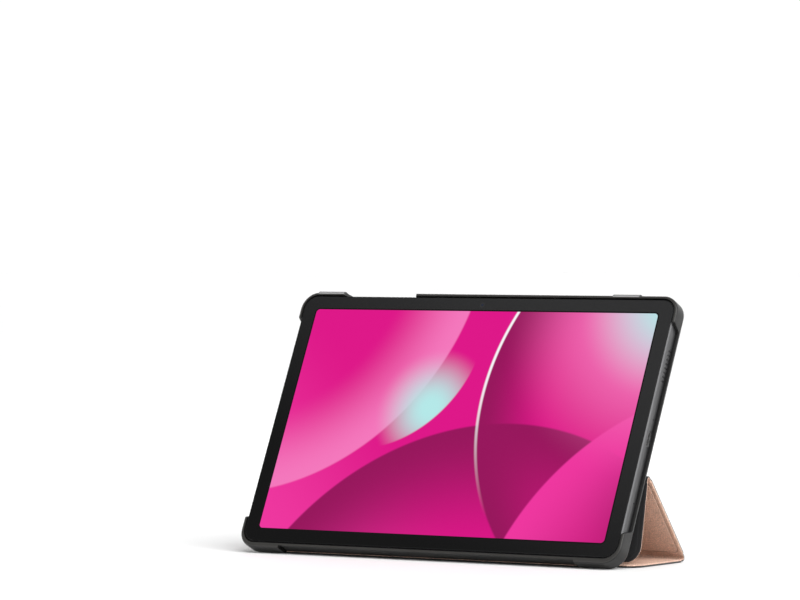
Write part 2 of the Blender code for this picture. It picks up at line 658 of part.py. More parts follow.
def make_flexes():
    width = 8.0
    left, right, low, high = -92.0, 107.5, 12.0, 62.5
    run = 6.0
    outline = [(left, low), (right, low), (right, high), (right - width, high),
               (right - width, low + run), (left + width, low + run), (left + width, high),
               (left, high)]
    slab("board_link_flex", [(x * MM, y * MM) for x, y in outline], 4.05 * MM, 4.25 * MM, FRAME,
         "flex")
    profile = [(-77.6, 4.05), (-73.0, 4.05), (-73.0, 6.62), (-73.3, 6.62), (-73.3, 4.3),
               (-77.6, 4.3)]
    flex = slab("display_flex", [(x * MM, z * MM) for x, z in profile], -124.0 * MM,
                -100.0 * MM, FRAME, "flex")
    stand_up(flex, "XZY")
    flex.data.transform(Matrix.Diagonal((1, -1, 1, 1)))
    flex.data.flip_normals()


def make_usb_port():
    middle_z = 4.4 * MM
    def along_x(name, width, height, radius, low, high, finish, collection=None):
        outline = rounded(*around(USB_Y, width), *around(middle_z, height), radius, steps=4)
        piece = slab(name, outline, low, high, FRAME, finish, collection=collection)
        return stand_up(piece, "YZX")
    port = along_x("usb_c_port", 8.9 * MM, 2.9 * MM, 1.4 * MM, 115.2 * MM, 122.3 * MM, "steel")
    mouth = along_x("usb_mouth", 8.3 * MM, 2.3 * MM, 1.1 * MM, 116.2 * MM, 125.0 * MM, None,
                    CUTTERS)
    cut(port, mouth)
    tongue = block("usb_tongue", (115.6 * MM, 121.0 * MM), around(USB_Y, 6.6 * MM),
                   around(middle_z, 0.7 * MM), FRAME, None, collection=CUTTERS)
    cut(port, tongue, join=True)


def make_audio():
    block("speaker_right", (103.0 * MM, 119.3 * MM), (104.0 * MM, 131.0 * MM),
          (2.95 * MM, 5.75 * MM), FRAME, "black_plastic", bevel=0.4 * MM)
    block("speaker_left", (-119.3 * MM, -103.0 * MM), (24.0 * MM, 51.0 * MM),
          (2.95 * MM, 5.75 * MM), FRAME, "black_plastic", bevel=0.4 * MM)
    for name, y in zip(("microphone_upper", "microphone_lower"), MICROPHONES_Y):
        block(name, (116.4 * MM, 119.3 * MM), around(y, 3.6 * MM), (4.0 * MM, 5.1 * MM), FRAME,
              "can_metal", bevel=0.15 * MM)
    block("antenna_upper", (-40.0 * MM, 40.0 * MM), (143.5 * MM, 148.5 * MM),
          (4.4 * MM, 4.6 * MM), FRAME, "flex")
    block("antenna_lower", (-40.0 * MM, 60.0 * MM), (6.4 * MM, 11.4 * MM), (4.4 * MM, 4.6 * MM),
          FRAME, "flex")


# Buttons and the card tray --------------------------------------------------------------

def make_switches():
    plate_x = (-94.0 * MM, -50.0 * MM)
    block("key_bracket", plate_x, (149.3 * MM, 150.1 * MM), (3.2 * MM, 5.7 * MM), FRAME, "steel")
    block("key_flex", plate_x, (150.2 * MM, 150.4 * MM), (3.4 * MM, 5.6 * MM), FRAME, "flex")
    switches = (("power_switch", POWER_X), ("volume_up_switch", VOLUME_X - SWITCH_OFFSET),
                ("volume_down_switch", VOLUME_X + SWITCH_OFFSET))
    for name, x in switches:
        block(name, around(x, 4.0 * MM), (150.5 * MM, 151.6 * MM), around(KEY_Z, 1.6 * MM),
              FRAME, "black_plastic", bevel=0.1 * MM)


def make_button(name, axis, length):
    """A side button in its axis's frame: a cap through the slot and a flange behind it."""
    top = TABLET_TOP + BUTTON_PROUD - axis.location.y
    cap = block(name, around(0.0, length), (-0.1 * MM, top), around(0.0, 1.7 * MM), axis,
                "frame_metal", bevel=0.3 * MM)
    flange = block(f"{name}_flange", around(0.0, length + 2.0 * MM),
                   (-BUTTON_FLANGE, BUTTON_FLANGE), around(0.0, 2.6 * MM), axis, None,
                   collection=CUTTERS)
    cut(cap, flange, join=True)


def make_buttons():
    """The power button slides along its axis; the volume rocker rocks about its own."""
    power = new_empty("power_button_axis", FRAME, (POWER_X, 152.5 * MM, KEY_Z), 0.0)
    make_button("power_button", power, POWER_LENGTH)
    rocker = new_empty("volume_rocker_axis", FRAME, (VOLUME_X, 152.3 * MM, KEY_Z), 0.0)
    make_button("volume_rocker", rocker, VOLUME_LENGTH)


def make_card_tray():
    plate_z = (4.5 * MM, 5.3 * MM)
    window = rounded(-118.5 * MM, -105.8 * MM, *around(TRAY_Y, 9.4 * MM), 0.6 * MM, steps=2)
    tray = slab("card_tray", rounded(-121.8 * MM, -103.6 * MM, *around(TRAY_Y, 13.0 * MM),
                                     0.8 * MM, steps=2),
                *plate_z, FRAME, "frame_metal", holes=(window,))
    face = block("card_tray_face", (-122.5 * MM, -121.4 * MM), around(TRAY_Y, 16.2 * MM),
                 around(4.9 * MM, 1.9 * MM), FRAME, None, bevel=0.3 * MM, collection=CUTTERS)
    cut(tray, face, join=True)
    reader = block("card_reader", (-119.2 * MM, -101.6 * MM), around(TRAY_Y, 15.6 * MM),
                   (4.05 * MM, 5.75 * MM), FRAME, "steel")
    mouth = block("card_reader_mouth", (-121.0 * MM, -103.0 * MM), around(TRAY_Y, 13.6 * MM),
                  (4.35 * MM, 5.45 * MM), FRAME, None, collection=CUTTERS)
    cut(reader, mouth)


# Assembly -------------------------------------------------------------------------------

def frame_origin(crease_1):
    """Where the tablet frame's origin goes so that crease 1 lies at its place in that frame."""
    y, z = CREASE_1
    return (0.0, crease_1[1] - (y * sin(LEAN) - z * cos(LEAN)),
            crease_1[2] - (y * cos(LEAN) + z * sin(LEAN)))


clear_scene()
PARTS = new_collection("folio_tablet")
CUTTERS = new_collection("cutters")
MATERIALS = {name: make_material(name) for name in FINISHES}
CREASE_1_PLACE = (0.0, FOOTPRINT_SHIFT, STRIP_T / 2)
FRAME = new_empty("tablet_frame", None, frame_origin(CREASE_1_PLACE), pi / 2 - LEAN)

make_case_shell()
make_anchor_flap()
make_cover(CREASE_1_PLACE)
make_midframe()
make_rear_cover()
make_screen()
make_cameras()
make_batteries()
make_boards()
make_flexes()
make_usb_port()
make_audio()
make_switches()
make_buttons()
make_card_tray()
bpy.context.view_layer.update()
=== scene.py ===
"""Looks for the tablet computer in its tri-fold folio case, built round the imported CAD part.

Most of the tablet and its case shell stay as the CAD has them and get procedural materials.
The cover's leather and lining, the folds between its panels, the rear camera and the tablet's
rounded side frame are made here, in place of their plainer CAD nodes.

The tablet frame has X along the long side, Y up the screen and Z out of the screen. Its Y is
0 at the case's bottom edge and its Z is 0 at the case's back.
"""

import json
from math import atan2, cos, exp, pi, radians, sin, sqrt

import bmesh
import bpy
from mathutils import Matrix, Vector


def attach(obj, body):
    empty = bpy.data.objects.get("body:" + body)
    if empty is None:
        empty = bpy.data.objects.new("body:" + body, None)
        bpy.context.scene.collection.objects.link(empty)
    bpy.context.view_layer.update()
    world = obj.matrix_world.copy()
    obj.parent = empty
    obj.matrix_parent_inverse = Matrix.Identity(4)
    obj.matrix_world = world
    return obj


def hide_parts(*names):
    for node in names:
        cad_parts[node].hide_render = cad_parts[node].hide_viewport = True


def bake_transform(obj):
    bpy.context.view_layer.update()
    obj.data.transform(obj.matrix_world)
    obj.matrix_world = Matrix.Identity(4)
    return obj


MM = 0.001
WELD_GAP = 1e-6                # points closer than this, in metres, are one

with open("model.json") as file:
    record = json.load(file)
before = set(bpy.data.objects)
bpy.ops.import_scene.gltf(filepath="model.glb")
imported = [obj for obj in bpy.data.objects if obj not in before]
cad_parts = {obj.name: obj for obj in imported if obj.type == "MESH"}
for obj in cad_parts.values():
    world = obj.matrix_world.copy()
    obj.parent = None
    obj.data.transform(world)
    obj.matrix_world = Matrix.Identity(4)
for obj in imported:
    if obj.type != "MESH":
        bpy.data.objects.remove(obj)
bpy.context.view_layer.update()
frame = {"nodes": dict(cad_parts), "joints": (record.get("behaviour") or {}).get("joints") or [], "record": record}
JOINTS = {j["name"]: j for j in frame["joints"]}
SLOT_OF = {s["node"]: s["material_slot"] for s in frame["record"]["subparts"]}

# The tablet frame, from the joint the tablet slides along and the spine's crease ---------
TABLET_Z = Vector(JOINTS["tablet_slide"]["axis"]).normalized()
TABLET_Y = TABLET_Z.cross(Vector((1, 0, 0)))
SPINE_AXIS = Vector(JOINTS["spine_crease"]["pos_m"])
AXIS_IN_TABLET = (0.75 * MM, 0.7 * MM)
TABLET_ORIGIN = SPINE_AXIS - TABLET_Y * AXIS_IN_TABLET[0] - TABLET_Z * AXIS_IN_TABLET[1]
TABLET_TURN = atan2(TABLET_Y.z, TABLET_Y.y)

SHELL_W = 248.6 * MM
SHELL_H = 157.7 * MM
SHELL_RIM = 9.6 * MM
TABLET_W = 245.0 * MM
TABLET_H = 153.0 * MM
TABLET_CORNER = 8.5 * MM
TABLET_MID = 79.4 * MM
SCREEN_W = 225.6 * MM
SCREEN_H = 135.4 * MM
SCREEN_CORNER = 2.2 * MM
GLASS_FRONT = 9.3 * MM
CAMERA_PLACE = (-104.8 * MM, 136.7 * MM)
FRONT_CAMERA = (-1.9 * MM, 151.0 * MM)
CLIP_PADS_X = ((-115.5 * MM, -96.3 * MM), (80.5 * MM, 99.1 * MM))
CLIP_PAD_FRONT = 8.9 * MM
FRAME_MID = 5.95 * MM          # middle and half thickness of the tablet's side walls
FRAME_HALF = 3.1 * MM
CROWN_FRONT = 0.6 * MM         # how far the walls curve in at their front and back edges
CROWN_BACK = 0.12 * MM
CROWN_CLEAR = 0.04 * MM

# The cover -------------------------------------------------------------------------------
HALF = SHELL_W / 2
STRIP_HALF = 96.0 * MM
STRIP_END = 8.7 * MM
CREASE_GAP = 1.2 * MM
INNER_L = 53.2 * MM
MIDDLE_L = 58.0 * MM
OUTER_L = 45.4 * MM
PANEL_HALF_T = 1.1 * MM        # from a panel's middle plane to its leather or lining
STRIP_HALF_T = 0.6 * MM
FOLD_HALF_T = 0.5 * MM
MIDDLE_RISE = radians(130.0)   # directions of the panels, from +Y towards +Z
OUTER_FALL = radians(258.9)
PANEL_CORNER = 9.0 * MM
CREASE_CORNER = 1.5 * MM
FREE_MARGIN = 2.6 * MM         # the board stops this far short of a free edge
FOLD_MARGIN = 2.8 * MM
GROOVE_INSET = 2.08 * MM       # middle and half width of the pressed line round a board
GROOVE_WIDTH = 0.26 * MM
FACE_SHAPE = {                 # half thickness past a board's edge, and the line's depth
    "leather": (0.78 * MM, 0.25 * MM),
    "lining": (0.9 * MM, 0.07 * MM),
}
RING_INSETS_MM = (0, 0.03, 0.1, 0.22, 0.38, 0.5, 0.9, 1.3, 1.6, 1.8, 1.95, 2.08, 2.22, 2.35,
                  2.48, 2.6, 2.8, 3.6)
RIM_LIP = 0.07 * MM            # half thickness at a rounded rim, and the rounding's reach
RIM_REACH = 0.5 * MM
FOLD_REACH = 1.3 * MM          # a panel thins over this distance from a fold
FOLD_TUCK = 0.4 * MM           # how far a fold's ends go under the panels
FOLD_THIN = 0.04 * MM          # and how much thinner they are there


# Mesh helpers ----------------------------------------------------------------------------

def smoothstep(t):
    t = min(max(t, 0.0), 1.0)
    return t * t * (3 - 2 * t)


def arc(centre, radius, start, sweep, steps):
    return [(centre[0] + radius * cos(start + sweep * i / steps),
             centre[1] + radius * sin(start + sweep * i / steps)) for i in range(steps + 1)]


def rounded(low_x, high_x, low_y, high_y, radii, steps):
    """A rectangle with rounded corners, anticlockwise from the low-low corner."""
    corners = (
        (low_x + radii[0], low_y + radii[0], pi),
        (high_x - radii[1], low_y + radii[1], 1.5 * pi),
        (high_x - radii[2], high_y - radii[2], 0.0),
        (low_x + radii[3], high_y - radii[3], 0.5 * pi),
    )
    points = []
    for radius, (x, y, start) in zip(radii, corners):
        points += arc((x, y), radius, start, pi / 2, steps)
    return points


def skin(rows, count):
    """Faces of a tube of rows of count vertices each, closed at both ends."""
    faces = [list(range(count)), list(range((rows - 1) * count, rows * count))]
    for r in range(rows - 1):
        for i in range(count):
            j = (i + 1) % count
            faces.append([r * count + i, r * count + j, (r + 1) * count + j,
                          (r + 1) * count + i])
    return faces


def new_piece(name, vertices, faces, material, place=None, sharp=40, grooves=None):
    """A closed mesh in the row frame, shaded smooth except across its sharp edges.

    grooves: how deep in a groove each vertex lies, 0 to 1, for the material to read."""
    mesh = bpy.data.meshes.new(name)
    mesh.from_pydata([tuple(v) for v in vertices], [], faces)
    if grooves:
        mesh.attributes.new("groove", "FLOAT", "POINT").data.foreach_set("value", grooves)
    if place is not None:
        mesh.transform(place)
    edit = bmesh.new()
    edit.from_mesh(mesh)
    bmesh.ops.remove_doubles(edit, verts=edit.verts, dist=1e-7)
    bmesh.ops.recalc_face_normals(edit, faces=edit.faces)
    edit.to_mesh(mesh)
    edit.free()
    mesh.shade_smooth()
    mesh.set_sharp_from_angle(angle=radians(sharp))
    mesh.materials.append(material)
    made = bpy.data.objects.new(name, mesh)
    bpy.context.scene.collection.objects.link(made)
    return made


def frame_matrix(origin, y_axis, z_axis):
    """From a local frame with these axes to the row frame. X stays X."""
    turn = Matrix((Vector((1, 0, 0)), y_axis, z_axis)).transposed().to_4x4()
    turn.translation = origin
    return turn


TABLET = frame_matrix(TABLET_ORIGIN, TABLET_Y, TABLET_Z)


def lathe(profile, centre, steps=96):
    """Vertices and faces of a closed profile of (radius, z) turned about Z.

    The profile's ends may lie on the axis."""
    vertices, faces, rows = [], [], []
    for radius, z in profile:
        if radius == 0:
            rows.append([len(vertices)] * steps)
            vertices.append((centre[0], centre[1], z))
        else:
            rows.append(list(range(len(vertices), len(vertices) + steps)))
            vertices += [(x, y, z) for x, y in arc(centre, radius, 0, 2 * pi, steps)[:-1]]
    on_axis = profile[0][0] == 0
    pairs = list(zip(rows, rows[1:])) + ([] if on_axis else [(rows[-1], rows[0])])
    for lower, upper in pairs:
        for i in range(steps):
            j = (i + 1) % steps
            ring = [lower[i], lower[j], upper[j], upper[i]]
            face = [v for k, v in enumerate(ring) if v != ring[k - 1]]
            if len(face) > 2:
                faces.append(face)
    return vertices, faces


def strip_mesh(section, half):
    """A closed (y, z) section run along X, with rounded-off ends."""
    count = len(section)
    middle = Vector((sum(p[0] for p in section), sum(p[1] for p in section))) / count
    ease = 0.25 * MM
    rows = [(-half, 0.75), (-half + 0.3 * ease, 0.92), (-half + ease, 1.0)]
    rows += [(-x, scale) for x, scale in reversed(rows)]
    vertices = []
    for x, scale in rows:
        for y, z in section:
            vertices.append((x, middle.x + (y - middle.x) * scale,
                             middle.y + (z - middle.y) * scale))
    return vertices, skin(len(rows), count)


# Material helpers ------------------------------------------------------------------------

class Paint:
    """A material and short ways to add nodes to it."""

    def __init__(self, name, **inputs):
        self.material = bpy.data.materials.new(name)
        self.material.use_nodes = True
        self.tree = self.material.node_tree
        self.shader = self.tree.nodes["Principled BSDF"]
        for key, value in inputs.items():
            self.shader.inputs[key.replace("_", " ")].default_value = value
        self.place = self.add("ShaderNodeTexCoord").outputs["Object"]

    def add(self, kind, inputs=None, **settings):
        made = self.tree.nodes.new(kind)
        for key, value in settings.items():
            setattr(made, key, value)
        for key, value in (inputs or {}).items():
            if isinstance(value, bpy.types.NodeSocket):
                self.tree.links.new(value, made.inputs[key])
            else:
                made.inputs[key].default_value = value
        return made

    def drive(self, name, socket):
        self.tree.links.new(socket, self.shader.inputs[name])

    def math(self, operation, *values):
        made = self.add("ShaderNodeMath", dict(enumerate(values)), operation=operation)
        return made.outputs[0]

    def ramp(self, value, low, high, to_low=0.0, to_high=1.0):
        made = self.add("ShaderNodeMapRange",
                        {"Value": value, "From Min": low, "From Max": high,
                         "To Min": to_low, "To Max": to_high},
                        interpolation_type="SMOOTHSTEP")
        return made.outputs["Result"]

    def mix(self, factor, a, b):
        made = self.add("ShaderNodeMix", {0: factor, 6: a, 7: b}, data_type="RGBA")
        return made.outputs[2]

    def noise(self, scale, detail=3.0, place=None):
        made = self.add("ShaderNodeTexNoise",
                        {"Vector": place or self.place, "Scale": scale, "Detail": detail,
                         "Roughness": 0.55})
        return made.outputs["Fac"]

    def cells(self, scale, feature, place):
        made = self.add("ShaderNodeTexVoronoi",
                        {"Vector": place, "Scale": scale, "Randomness": 1.0}, feature=feature)
        return made.outputs["Distance"]

    def bands(self, scale, direction, place, distortion):
        made = self.add("ShaderNodeTexWave",
                        {"Vector": place, "Scale": scale, "Distortion": distortion,
                         "Detail": 1.0},
                        bands_direction=direction)
        return made.outputs["Fac"]

    def in_tablet(self):
        """The tablet frame's coordinates of the point, in metres."""
        made = self.add("ShaderNodeMapping", {"Vector": self.place, "Location": TABLET_ORIGIN,
                                              "Rotation": (TABLET_TURN, 0, 0)},
                        vector_type="TEXTURE")
        return made.outputs[0]

    def apart(self, vector):
        return self.add("ShaderNodeSeparateXYZ", {0: vector}).outputs

    def bump(self, height, depth, strength=1.0, under=None):
        inputs = {"Height": height, "Distance": depth, "Strength": strength}
        if under is not None:
            inputs["Normal"] = under
        return self.add("ShaderNodeBump", inputs).outputs[0]

    def tones(self, colour, factor, spread):
        """The colour, darker where the factor is 0 and lighter where it is 1."""
        dark = [c * (1 - spread) for c in colour]
        light = [min(c * (1 + spread), 1.0) for c in colour]
        return self.mix(factor, (*dark, 1), (*light, 1))


def grained(name, colour, roughness, metallic=0.0, spread=0.08, patch=90.0, grain=1500.0,
            depth=0.02 * MM, rough_spread=0.06, stretch=None, **inputs):
    """A plain finish with slow tone changes, fine grain and uneven gloss."""
    paint = Paint(name, Metallic=metallic, **inputs)
    place = paint.place
    if stretch:
        place = paint.add("ShaderNodeMapping", {"Vector": place, "Scale": stretch}).outputs[0]
    slow = paint.ramp(paint.noise(patch, place=place), 0.3, 0.7)
    fine = paint.noise(grain, 2.0, place)
    paint.drive("Base Color", paint.tones(colour, slow, spread))
    paint.drive("Roughness", paint.ramp(fine, 0.3, 0.7, roughness - rough_spread,
                                        roughness + rough_spread))
    paint.drive("Normal", paint.bump(fine, depth))
    return paint


BORDER = 4.8 * MM              # smooth border round the back's weave, and its soft edge
BORDER_SOFT = 1.2 * MM
WEAVE_SCALE = 560.0            # scales are per metre
SHELL_BLACK = (0.014, 0.0138, 0.0135)
# painted highlight: a lighter black for the shell's front rim and the back's smooth border
SHELL_RIM_HIGHLIGHT = (0.033, 0.032, 0.03, 1)
WEAVE_BLACK = (0.0085, 0.0085, 0.009)
# painted highlight on the clip pads' fronts
CLIP_PAD_HIGHLIGHT = (0.3, 0.3, 0.3, 1)
PEBBLE_SCALE = 980.0
FINE_PEBBLE_SCALE = 2200.0
PEBBLE_DEPTH = 0.36 * MM
ROSE_GOLD = (0.76, 0.495, 0.375)
# painted shade for the pressed line round each board
GROOVE_SHADE = (0.25, 0.14, 0.095, 1)
LINING_BLACK = (0.012, 0.012, 0.0128)
FRAME_GREY = (0.11, 0.11, 0.113)
SCREEN_OFF = (0.0008, 0.0008, 0.0008, 1)
BEZEL_DARK = (0.0006, 0.0006, 0.0007, 1)
# painted reflection: the border's lighter tone towards its top and right
BEZEL_REFLECTION = (0.019, 0.019, 0.0195, 1)


def shell_paint():
    """Moulded black plastic: a smooth border and sides, a fine weave on the back's field, and painted highlights
    on its front rim, its back's border and the clip pads.
    """
    paint = Paint("folio_shell_plastic", Specular_IOR_Level=0.3)
    tablet = paint.in_tablet()
    x, y, z = paint.apart(tablet)
    edge = (BORDER - BORDER_SOFT, BORDER + BORDER_SOFT)
    across = paint.ramp(paint.math("SUBTRACT", SHELL_W / 2, paint.math("ABSOLUTE", x)), *edge)
    up = paint.math("ABSOLUTE", paint.math("SUBTRACT", y, SHELL_H / 2))
    along = paint.ramp(paint.math("SUBTRACT", SHELL_H / 2, up), *edge)
    back = paint.ramp(z, 0.35 * MM, 0.15 * MM)
    field = paint.math("MULTIPLY", paint.math("MULTIPLY", across, along), back)
    threads = paint.math("ADD", paint.bands(WEAVE_SCALE, "X", tablet, 0.6),
                         paint.bands(WEAVE_SCALE, "Y", tablet, 0.6))
    slow = paint.ramp(paint.noise(60.0), 0.3, 0.7)
    fine = paint.noise(2600.0, 2.0)
    body = paint.tones(SHELL_BLACK, slow, 0.12)
    # painted highlight: the front rim and the back's border outside the woven field are lightened
    rim = paint.ramp(z, SHELL_RIM - 0.5 * MM, SHELL_RIM - 0.1 * MM)
    rim_highlight = paint.math("MAXIMUM", rim, paint.ramp(z, 0.5 * MM, 0.1 * MM))
    body = paint.mix(rim_highlight, body, SHELL_RIM_HIGHLIGHT)
    # painted highlight: a light grey strip on each clip pad's front and the rim beside it
    for low, high in CLIP_PADS_X:
        middle, half = (low + high) / 2, (high - low) / 2 - 0.8 * MM
        beside = paint.math("ABSOLUTE", paint.math("SUBTRACT", x, middle))
        face = paint.math("MULTIPLY", paint.ramp(beside, half, half - 0.3 * MM),
                          paint.ramp(y, SHELL_H - 0.95 * MM, SHELL_H - 0.85 * MM))
        face = paint.math("MULTIPLY", face, paint.ramp(y, SHELL_H + 0.4 * MM,
                                                       SHELL_H + 0.3 * MM))
        face = paint.math("MULTIPLY", face, paint.ramp(z, CLIP_PAD_FRONT - 0.3 * MM,
                                                       CLIP_PAD_FRONT - 0.2 * MM))
        body = paint.mix(face, body, CLIP_PAD_HIGHLIGHT)
    woven = paint.tones(WEAVE_BLACK, paint.ramp(threads, 0.4, 1.6), 0.3)
    paint.drive("Base Color", paint.mix(field, body, woven))
    paint.drive("Roughness", paint.ramp(paint.math("ADD", fine, field), 0.3, 1.7, 0.32, 0.56))
    weave = paint.math("MULTIPLY", threads, field)
    moulded = paint.bump(fine, 0.012 * MM)
    paint.drive("Normal", paint.bump(weave, 0.05 * MM, 0.8, moulded))
    return paint.material


def leather_paint(name, colour, tone_and_shade_spread):
    """Embossed polyurethane leather: pebbles, creases between them and a soft metallic tone, with painted shade in
    the creases and in the pressed lines.
    """
    paint = Paint(name, Specular_IOR_Level=0.5, Sheen_Weight=0.08, Sheen_Roughness=0.4)
    warp = paint.add("ShaderNodeTexNoise", {"Vector": paint.place, "Scale": 420.0,
                                            "Detail": 2.0}).outputs["Color"]
    bent = paint.add("ShaderNodeMix", {0: 0.0016, 4: paint.place, 5: warp}, data_type="VECTOR")
    place = bent.outputs[1]
    pebble = paint.cells(PEBBLE_SCALE, "DISTANCE_TO_EDGE", place)
    small = paint.cells(FINE_PEBBLE_SCALE, "F1", place)
    crease = paint.ramp(pebble, -0.04, 0.3)
    slow = paint.ramp(paint.noise(38.0, 4.0), 0.3, 0.7)
    fine = paint.noise(3200.0, 2.0)
    # painted shade: the base colour darkens in the creases between pebbles, beside a slow random tone
    tone = paint.math("ADD", paint.math("MULTIPLY", slow, 0.14),
                      paint.math("MULTIPLY", crease, 0.86))
    groove = paint.add("ShaderNodeAttribute", attribute_name="groove").outputs["Fac"]
    # painted shade: the pressed line round each board is darkened in the base colour
    groove_shaded = paint.mix(paint.math("MULTIPLY", groove, 0.85), paint.tones(colour, tone, tone_and_shade_spread),
                     GROOVE_SHADE)
    paint.drive("Base Color", groove_shaded)
    paint.drive("Roughness", paint.ramp(paint.math("ADD", crease, fine), 0.4, 1.6, 0.56, 0.4))
    height = paint.math("ADD", crease, paint.math("MULTIPLY", small, -0.35))
    height = paint.math("ADD", height, paint.math("MULTIPLY", fine, 0.25))
    paint.drive("Normal", paint.bump(height, PEBBLE_DEPTH))
    return paint.material


def lining_paint():
    """Brushed microfibre: short nap, lighter where it is combed the other way."""
    paint = Paint("folio_lining", Sheen_Weight=0.35, Sheen_Roughness=0.45,
                  Specular_IOR_Level=0.2)
    nap = paint.add("ShaderNodeMapping", {"Vector": paint.place, "Scale": (1.0, 0.35, 0.35)})
    combed = paint.ramp(paint.noise(150.0, 4.0, nap.outputs[0]), 0.3, 0.8)
    fibre = paint.noise(5200.0, 2.0, nap.outputs[0])
    paint.drive("Base Color", paint.tones(LINING_BLACK, combed, 0.2))
    paint.drive("Roughness", paint.ramp(fibre, 0.3, 0.7, 0.82, 0.98))
    paint.drive("Normal", paint.bump(fibre, 0.05 * MM, 0.7))
    return paint.material


def frame_paint():
    """Fine-blasted dark aluminium with a satin coat."""
    paint = Paint("folio_frame_metal", Metallic=0.85, Coat_Weight=0.15, Coat_Roughness=0.3)
    slow = paint.ramp(paint.noise(45.0), 0.3, 0.7)
    fine = paint.noise(5200.0, 2.0)
    paint.drive("Base Color", paint.tones(FRAME_GREY, slow, 0.06))
    paint.drive("Roughness", paint.ramp(fine, 0.3, 0.7, 0.3, 0.4))
    paint.drive("Normal", paint.bump(fine, 0.01 * MM))
    return paint.material


def glass_paint():
    """The front glass: a black printed border with a painted reflection across it, the lit picture behind it and
    the front camera.
    """
    paint = Paint("folio_front_glass", Specular_IOR_Level=0.3, Emission_Strength=1.0)
    tablet = paint.in_tablet()
    x, y, z = paint.apart(tablet)
    middle = paint.math("SUBTRACT", y, TABLET_MID)

    def beyond(value, half):
        return paint.math("MAXIMUM", paint.math(
            "SUBTRACT", paint.math("ABSOLUTE", value), half - SCREEN_CORNER), 0.0)

    past_x, past_y = beyond(x, SCREEN_W / 2), beyond(middle, SCREEN_H / 2)
    corner = paint.math("SQRT", paint.math("ADD", paint.math("MULTIPLY", past_x, past_x),
                                           paint.math("MULTIPLY", past_y, past_y)))
    lit = paint.ramp(corner, SCREEN_CORNER + 0.05 * MM, SCREEN_CORNER - 0.05 * MM)
    front = paint.ramp(z, GLASS_FRONT - 0.2 * MM, GLASS_FRONT - 0.1 * MM)
    lit = paint.math("MULTIPLY", lit, front)

    # the picture's own coordinates: 0, 0 in its middle, 1 at its top edge
    half = SCREEN_H / 2
    u, v = paint.math("DIVIDE", x, half), paint.math("DIVIDE", middle, half)
    spot = paint.add("ShaderNodeCombineXYZ", {0: u, 1: v}).outputs[0]

    def inside(centre_x, centre_y, radius):
        """How far inside a circle the point is."""
        away = paint.add("ShaderNodeVectorMath", {0: spot, 1: (centre_x, centre_y, 0)},
                         operation="DISTANCE").outputs["Value"]
        return paint.math("SUBTRACT", radius, away)

    def fold(colour, circle, tint, width, edge=0.012):
        """A soft sheet: its tint is strongest along the circle's edge and fades inwards."""
        near = paint.ramp(circle, width, 0.0)
        sheet = paint.math("MULTIPLY", near, paint.ramp(circle, -edge, edge))
        return paint.mix(sheet, colour, (*tint, 1))

    magenta, deep = (0.72, 0.0, 0.24), (0.30, 0.0, 0.10)
    pink, pale = (0.85, 0.03, 0.34), (0.90, 0.18, 0.50)
    aqua, white = (0.45, 0.80, 0.80), (0.93, 0.93, 0.96)
    colour = paint.mix(paint.ramp(paint.math("ADD", u, v), -2.7, -0.6), (*pink, 1), (*magenta, 1))
    colour = fold(colour, inside(-2.15, 1.35, 2.05), pale, 0.75)
    colour = fold(colour, inside(0.55, -2.35, 2.35), deep, 1.25)
    colour = fold(colour, inside(2.15, 0.25, 1.95), deep, 0.75)
    colour = fold(colour, inside(2.75, -1.75, 2.15), pink, 1.1)
    glow = paint.ramp(inside(-0.28, 0.12, 0.55), 0.0, 0.5)
    glow = paint.math("MULTIPLY", glow, paint.ramp(inside(-0.95, 0.75, 1.02), -0.01, 0.01))
    colour = paint.mix(glow, colour, (*aqua, 1))
    colour = paint.mix(paint.ramp(inside(1.8, 1.1, 1.6), 0.0, 1.3), colour, (*pale, 1))
    colour = paint.mix(paint.ramp(inside(1.85, 1.15, 0.95), 0.0, 0.85), colour, (*aqua, 1))
    line = paint.ramp(paint.math("ABSOLUTE", inside(2.15, 0.25, 1.955)), 0.02, 0.004)
    line = paint.math("MULTIPLY", line, paint.ramp(v, -0.85, 0.6))
    colour = paint.mix(line, colour, (*white, 1))

    dot = paint.add("ShaderNodeVectorMath", {0: tablet, 1: (*FRONT_CAMERA, GLASS_FRONT)},
                    operation="DISTANCE").outputs["Value"]
    ring = paint.math("MULTIPLY", paint.ramp(dot, 1.0 * MM, 1.15 * MM),
                      paint.ramp(dot, 1.55 * MM, 1.4 * MM))
    eye = paint.ramp(dot, 0.75 * MM, 0.6 * MM)
    smudge = paint.ramp(paint.noise(22.0, 4.0), 0.35, 0.75)
    # painted reflection: the black border lightens towards the top and right
    reflection_ramp = paint.ramp(paint.math("ADD", paint.math("MULTIPLY", u, 0.5), v), -1.3, 1.7)
    border = paint.mix(reflection_ramp, BEZEL_DARK, BEZEL_REFLECTION)
    border = paint.mix(ring, border, (0.028, 0.028, 0.03, 1))
    border = paint.mix(eye, border, (0.012, 0.016, 0.035, 1))
    beside = paint.ramp(corner, SCREEN_CORNER + 0.75 * MM, SCREEN_CORNER + 0.9 * MM)
    border = paint.mix(beside, SCREEN_OFF, border)
    paint.drive("Base Color", paint.mix(lit, border, SCREEN_OFF))
    paint.drive("Emission Color", paint.mix(lit, (0, 0, 0, 1), colour))
    paint.drive("Roughness", paint.ramp(smudge, 0.0, 1.0, 0.07, 0.12))
    return paint.material


def board_paint():
    """Green solder mask over copper tracks."""
    paint = Paint("folio_circuit_board", Specular_IOR_Level=0.5)
    tracks = paint.add("ShaderNodeTexBrick", {
        "Vector": paint.place, "Scale": 260.0, "Color1": (0.004, 0.055, 0.022, 1),
        "Color2": (0.006, 0.085, 0.034, 1), "Mortar": (0.03, 0.16, 0.06, 1),
        "Mortar Size": 0.03, "Brick Width": 0.9, "Row Height": 0.25})
    paint.drive("Base Color", tracks.outputs["Color"])
    paint.drive("Roughness", paint.ramp(paint.noise(900.0), 0.3, 0.7, 0.35, 0.5))
    paint.drive("Normal", paint.bump(tracks.outputs["Fac"], 0.03 * MM))
    return paint.material


